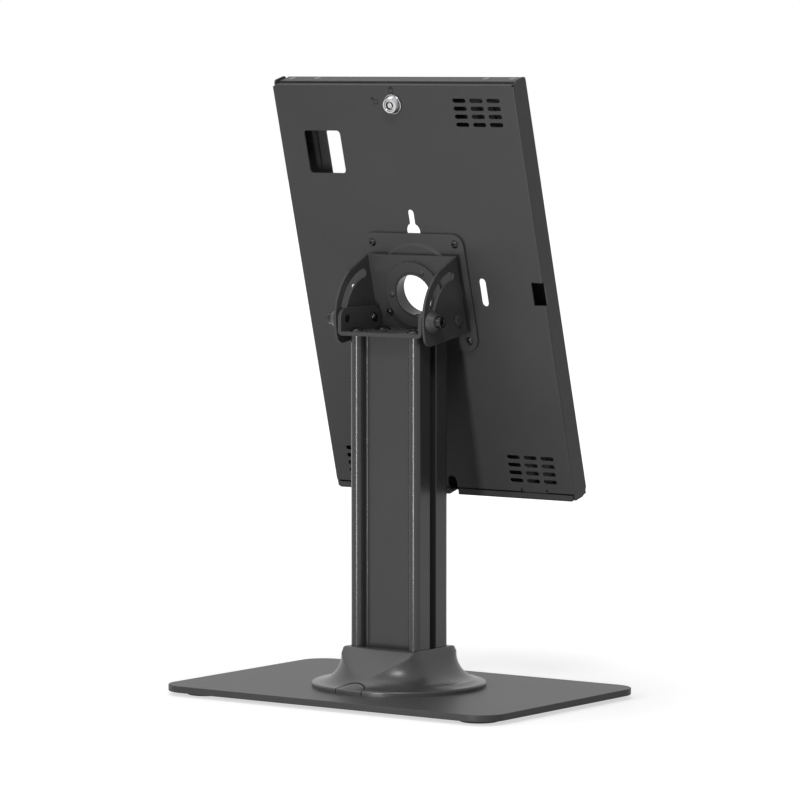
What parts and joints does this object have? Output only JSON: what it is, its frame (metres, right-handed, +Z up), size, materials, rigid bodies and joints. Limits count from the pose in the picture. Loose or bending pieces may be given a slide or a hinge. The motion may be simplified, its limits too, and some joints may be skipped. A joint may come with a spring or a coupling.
{
  "type": "tablet security kiosk stand",
  "caption": "Countertop stand that locks a tablet in a sheet steel enclosure on a tilting, turning head over an extruded column and a heavy base plate.",
  "frame": {"origin": "middle of the footprint, on the surface that the feet rest on", "axes": "+Z up, -Y towards the person who looks at the screen, X along the base plate's width"},
  "size_m": [0.3, 0.2, 0.4604],
  "materials": {
    "coated_steel": "fine textured matte powder coat",
    "column_paint": "satin black paint on extruded aluminium",
    "cover_plastic": "satin moulded plastic",
    "black_screws": "black oxide, semi gloss",
    "nylon": "satin moulded nylon",
    "rubber": "matte",
    "foam": "matte closed cell foam",
    "lock_chrome": "polished",
    "zinc": "bright zinc plated"
  },
  "bodies": {
    "stand": {"base_plate": "coated_steel", "rubber_feet": "rubber", "base_cover": "cover_plastic", "cable_gate": "cover_plastic", "column": "column_paint", "base_screws": "black_screws", "head_bracket": "coated_steel", "head_screws": "black_screws", "pivot_barrels": "coated_steel", "pivot_screws": "black_screws", "nylon_washers": "nylon", "clamp_bolts": "black_screws", "cone_washers": "coated_steel"},
    "tilt_head": {"tilt_bracket": "coated_steel", "rotation_hub": "coated_steel", "hub_sleeve": "nylon", "retaining_disc": "coated_steel", "friction_ring": "nylon", "hub_rivets": "coated_steel", "turn_lock_screw": "black_screws"},
    "enclosure": {"vesa_plate": "coated_steel", "vesa_screws": "black_screws", "clinch_nuts": "zinc", "rear_housing": "coated_steel", "back_pads": "foam", "lock_body": "lock_chrome", "lock_nut": "zinc"},
    "lock": {"lock_core": "lock_chrome", "lock_cam": "zinc", "cam_screw": "zinc"},
    "front": {"front_frame": "coated_steel", "front_pads": "foam", "tablet_stops": "coated_steel", "stop_screws": "black_screws"}
  },
  "joints": [
    {"name": "tilt", "type": "hinge", "parent": "stand", "child": "tilt_head", "pos_m": [0, -0.0175, 0.281], "axis": [-1, 0, 0], "range_deg": [0, 75]},
    {"name": "turn", "type": "hinge", "parent": "tilt_head", "child": "enclosure", "pos_m": [0, -0.03002, 0.30113], "axis": [0, 0.9659, -0.2588], "range_deg": [-90, 90]},
    {"name": "open_front", "type": "hinge", "parent": "enclosure", "child": "front", "pos_m": [0, -0.07039, 0.15044], "axis": [1, 0, 0], "range_deg": [0, 30]},
    {"name": "key_turn", "type": "hinge", "parent": "enclosure", "child": "lock", "pos_m": [0, 0.00725, 0.44022], "axis": [0, -0.9659, 0.2588], "range_deg": [0, 90]}
  ]
}
